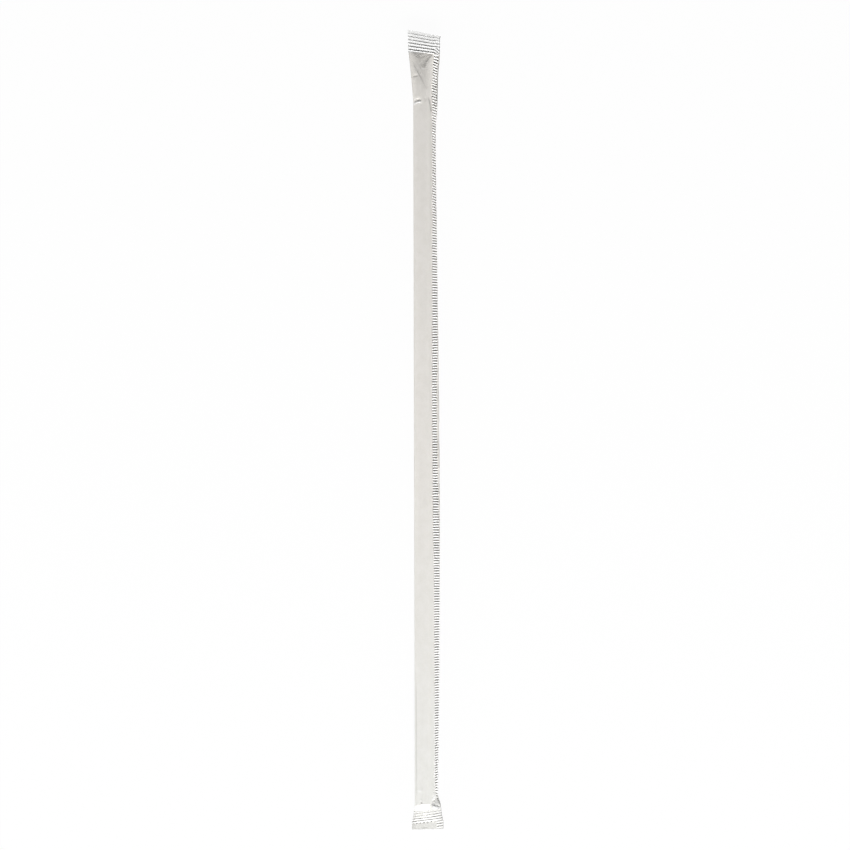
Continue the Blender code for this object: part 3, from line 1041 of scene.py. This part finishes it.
def top_cut_shade(across, y):
    """A faint grey line along the top seal's cut edge, the same all the way across."""
    return cut_line_darkness * bell(top_cut - cut_line_down - y, cut_line_width)


# %% [markdown]
# Both seals are grids of the same fineness. Their rows are closer together than the seam's,
# since a seal's grooves are sharper than its ridges.

# %% The top and bottom seals
seal_row_step = 0.00005
seal_columns = 160
groove_power = 1.6
ridge_reach = 0.5


def make_seal(name, start, end, lift, rib_height, painted_groove_shade, edge_strip, extra_shade):
    """A closed slab from one height to another, ribbed by the given function.

    Its colour has painted shade in its grooves, a painted highlight on its ridges and painted
    shade again along the seam's cut edge.
    """
    rows = np.linspace(start, end, round(abs(start - end) / seal_row_step))
    heights, across = np.meshgrid(rows, np.linspace(-1, 1, seal_columns), indexing="ij")
    waves = lift(across, heights)
    upper = seal_face(heights, across, +1, waves)[:, ::-1]
    lower = seal_face(heights, across, -1, waves)
    level = waves / (rib_height / 2)
    # painted shade in the grooves and a painted highlight on the ridges
    groove = np.clip(-level, 0, 1) ** groove_power
    ridge = np.clip(level / ridge_reach, 0, 1)
    shade = painted_groove_shade * groove - ridge + extra_shade(across, heights)
    # painted shade along the seam's cut edge
    cut = rising((across - 1) * sleeve_width / 2, -edge_strip, strip_edge)
    shade = np.clip(blend(shade, cut_painted_shade, cut), -1, 1)
    return make_tube(
        name, np.concatenate((upper, lower), axis=1), np.concatenate((shade[:, ::-1], shade), axis=1)
    )


# strength of the painted shade in each seal's grooves
top_painted_groove_shade = 0.58
bottom_painted_groove_shade = 0.75
bottom_edge_strip = 0.00016
top_seal = make_seal(
    "top_seal", top_cut, neck_top, top_lift, top_rib_height, top_painted_groove_shade, top_edge_turn_width,
    top_cut_shade,
)
bottom_seal = make_seal(
    "bottom_seal", foot_bottom, bottom_cut, bottom_lift, bottom_rib_height, bottom_painted_groove_shade,
    bottom_edge_strip, flap_painted_marks,
)


# %% [markdown]
# ## Shader maths as Python
#
# A material is a graph of nodes, and a sum of two noises is three of them. They could be added and
# linked one by one. Here a small class wraps a socket, so that an expression on values adds the
# Math nodes itself, and one method makes any other node.

# %% A socket that does arithmetic
class Value:
    """A number socket of a node tree, with the arithmetic that the materials use."""

    def __init__(self, tree, socket):
        self.tree, self.socket = tree, socket

    def math(self, operation, other, swap=False):
        """One Math node on this value and another value or number."""
        first, second = (other, self) if swap else (self, other)
        return self.tree.node("ShaderNodeMath", {"operation": operation}, {0: first, 1: second})

    def __add__(self, other):
        return self.math("ADD", other)

    def __mul__(self, other):
        return self.math("MULTIPLY", other)

    def __sub__(self, other):
        return self.math("SUBTRACT", other)

    def __rsub__(self, other):
        return self.math("SUBTRACT", other, swap=True)

    __radd__ = __add__
    __rmul__ = __mul__


# %% [markdown]
# A node is found by its kind, and its sockets by name or by number. A Mix node has sockets for
# numbers, vectors and colours under the same names, so its colour sockets go by number.

# %% One method for any other node
COLOUR_A = 6
COLOUR_B = 7
COLOUR_OUT = 2


class Tree:
    """A material's or the world's nodes, emptied and ready to be written as expressions."""

    def __init__(self, owner):
        owner.use_nodes = True
        self.nodes, self.links = owner.node_tree.nodes, owner.node_tree.links
        self.nodes.clear()

    def node(self, kind, settings=None, inputs=None, output=0):
        """Add a node, set its settings and sockets, and give one of its outputs as a Value."""
        made = self.nodes.new(kind)
        for name, value in (settings or {}).items():
            if name == "stops":
                self.set_stops(made.color_ramp, value)
            else:
                setattr(made, name, value)
        for key, value in (inputs or {}).items():
            if isinstance(value, Value):
                self.links.new(value.socket, made.inputs[key])
            else:
                made.inputs[key].default_value = value
        return Value(self, made.outputs[output]) if len(made.outputs) else None

    @staticmethod
    def set_stops(ramp, stops):
        """Set a colour ramp's places and colours."""
        while len(ramp.elements) < len(stops):
            ramp.elements.new(0.5)
        for element, (position, colour) in zip(ramp.elements, stops):
            element.position, element.color = position, colour

    def mix(self, factor, first, second, way="MIX"):
        """A colour between two colours, by a factor, or their product where the way multiplies."""
        settings = {"data_type": "RGBA", "blend_type": way}
        inputs = {"Factor": factor, COLOUR_A: first, COLOUR_B: second}
        return self.node("ShaderNodeMix", settings, inputs, output=COLOUR_OUT)

    def ramp_along(self, value, start, end):
        """0 where the value is at the start and 1 where it is at the end, straight between them."""
        inputs = {"Value": value, "From Min": start, "From Max": end}
        return self.node("ShaderNodeMapRange", None, inputs)


# %% [markdown]
# ## Paper
#
# Wrapping paper is matt, slightly warm and never quite even: the pulp clouds, a few fibres lie
# darker, and the surface has a fine tooth. A picture of paper would repeat along a strip this
# long. Noise doesn't, and on Object coordinates it runs on from piece to piece. The clouds and
# fibres multiply the paper's colour, which gets less warm from the middle down, a painted change
# that stands in for more neutral light towards the lower end, and is neutral in the top seal.
# The shade of each point then adds painted shade and painted highlights.

# %% The paper's material
seal_white = (0.874, 0.875, 0.872, 1)
upper_white = (0.90, 0.87, 0.828, 1)
# painted: less warm towards the lower end, standing in for the more neutral light there
lower_white = (0.860, 0.854, 0.824, 1)
lower_white_place = (middle_y - 0.005, middle_y - 0.095)
seal_white_place = (neck_top - 0.0004 + middle_y, neck_top + 0.0004 + middle_y)
pulp_dark = (0.93, 0.93, 0.91, 1)
pulp_light = (1.0, 1.0, 1.0, 1)
# painted shade and painted highlights go towards these two colours
painted_shade_grey = (0.13, 0.125, 0.12, 1)
painted_highlight_white = (0.98, 0.98, 0.975, 1)


def make_paper(name):
    """White wrapping paper: its colour, pulp clouds and fibres, and a fine tooth in the bump.

    Where the shade is above 0 the colour goes towards a painted shade grey, and below 0 towards a
    painted highlight white.
    """
    material = bpy.data.materials.new(name)
    tree = Tree(material)
    on_paper = tree.node("ShaderNodeTexCoord", output="Object")
    along = tree.node("ShaderNodeSeparateXYZ", None, {0: on_paper}, output="Y")
    lower = tree.ramp_along(along, *lower_white_place)
    colour = tree.mix(lower, upper_white, lower_white)
    sealed = tree.ramp_along(along, *seal_white_place)
    colour = tree.mix(sealed, colour, seal_white)
    clouds = tree.node("ShaderNodeTexNoise", None,
                       {"Vector": on_paper, "Scale": 420.0, "Detail": 4.0, "Roughness": 0.6})
    fibres = tree.node("ShaderNodeTexNoise", None,
                       {"Vector": on_paper, "Scale": 2600.0, "Detail": 3.0, "Distortion": 1.6})
    stops = ((0.3, pulp_dark), (0.6, pulp_light))
    mottle = tree.node("ShaderNodeValToRGB", {"stops": stops}, {"Fac": 0.5 * clouds + 0.5 * fibres})
    colour = tree.mix(1.0, colour, mottle, "MULTIPLY")
    shade = tree.node("ShaderNodeAttribute", {"attribute_name": "shade"}, output="Fac")
    # painted shade above 0, painted highlight below 0
    colour = tree.mix(shade, colour, painted_shade_grey)
    colour = tree.mix(0.0 - shade, colour, painted_highlight_white)
    bump = tree.node("ShaderNodeBump", None, {"Strength": 0.25, "Distance": 0.00003, "Height": fibres})
    shader = tree.node("ShaderNodeBsdfPrincipled", None, {
        "Base Color": colour, "Roughness": 0.78, "Specular IOR Level": 0.3, "Normal": bump,
    })
    tree.node("ShaderNodeOutputMaterial", None, {"Surface": shader})
    print(name, "has", len(tree.nodes), "nodes")
    return material


paper = make_paper("sleeve_paper")
for piece in (sleeve, seam, top_seal, bottom_seal):
    piece.data.materials.append(paper)
    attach(piece, "root")
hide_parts("wrapped_straw")

# %% [markdown]
# ## Floor, light and camera
#
# The picture is lit from below, low along the straw, which is what makes the ribs so crisp. One
# wide lamp does that, and a pale world fills the shadows. The floor shows white to the camera
# and still takes the straw's shadow.

# %% The floor and the world
floor_reach = 3.0
floor_grey = (0.8, 0.8, 0.8, 1)
white = (1, 1, 1, 1)
floor_glow = 1.01
glow_share = 0.95
sky_strength = 0.10


def make_floor():
    """A wide floor that looks white, darkens a little in shadow, and lights things from below."""
    r = floor_reach
    mesh = bpy.data.meshes.new("floor")
    mesh.from_pydata([(-r, -r, 0), (r, -r, 0), (r, r, 0), (-r, r, 0)], [], [(0, 1, 2, 3)])
    floor = bpy.data.objects.new("floor", mesh)
    bpy.context.scene.collection.objects.link(floor)
    material = bpy.data.materials.new("floor")
    tree = Tree(material)
    seen = tree.node("ShaderNodeLightPath", output="Is Camera Ray")
    pale = tree.node("ShaderNodeBsdfDiffuse", None, {"Color": floor_grey})
    glow = tree.node("ShaderNodeEmission", None, {"Color": white, "Strength": floor_glow})
    lit = tree.node("ShaderNodeMixShader", None, {0: seen * glow_share, 1: pale, 2: glow})
    tree.node("ShaderNodeOutputMaterial", None, {"Surface": lit})
    mesh.materials.append(material)


make_floor()
world = bpy.data.worlds.new("studio")
bpy.context.scene.world = world
sky = Tree(world)
sky_light = sky.node("ShaderNodeBackground", None, {"Color": white, "Strength": sky_strength})
sky.node("ShaderNodeOutputWorld", None, {"Surface": sky_light})
print("floor reaches, m:", floor_reach)

# %% [markdown]
# The wide lamp is low and towards -Y, so light runs up along the straw: the lower side of every
# rib is bright and its upper side dark. The two others stand far to the sides. They draw the fold
# and the seam's cut edge out of the shade, and leave the ribs alone.

# %% The lamps
lamp_aim = Vector((0, 0, 0))
lamps = (
    ("key", Vector((0, -0.95, 0.7)), 1.2, 0.5, 14.1),
    ("left", Vector((-0.9, -0.42, 0.35)), 0.6, 0.4, 4.8),
    ("right", Vector((0.9, -0.58, 0.35)), 0.6, 0.4, 5.6),
)


def add_softbox(name, position, width, height, power):
    """A rectangular lamp at a point, turned to face the middle of the pack."""
    lamp = bpy.data.lights.new(name, "AREA")
    lamp.shape = "RECTANGLE"
    lamp.size = width
    lamp.size_y = height
    lamp.energy = power
    holder = bpy.data.objects.new(name, lamp)
    bpy.context.scene.collection.objects.link(holder)
    holder.location = position
    holder.rotation_euler = (lamp_aim - position).to_track_quat("-Z", "Y").to_euler()
    print(name, "lamp:", power, "W from", round((lamp_aim - position).length, 2), "m away")


for lamp in lamps:
    add_softbox(*lamp)


# %% [markdown]
# The camera looks straight down from far away through a long lens, so that both ends are seen
# squarely from above. It is aimed a little to the right of the straw and towards the neck, which
# puts the pack where it lies in the photograph.

# %% The camera
camera_distance = 3.0
frame_height = 0.2389
sensor_width = 36
aim_across = 0.00088
aim_along = 0.0080
camera_turn = math.radians(-0.125)
camera_data = bpy.data.cameras.new("camera")
camera_data.sensor_width = sensor_width
camera_data.lens = sensor_width * camera_distance / frame_height
camera_data.clip_start = 0.01
camera_data.clip_end = 20
camera = bpy.data.objects.new("camera", camera_data)
bpy.context.scene.collection.objects.link(camera)
camera.location = (axis_x + aim_across, middle_y + aim_along, camera_distance)
camera.rotation_euler = (0, 0, camera_turn)
bpy.context.scene.camera = camera
bpy.context.scene.view_settings.view_transform = "Standard"
print("lens, mm:", round(camera_data.lens))
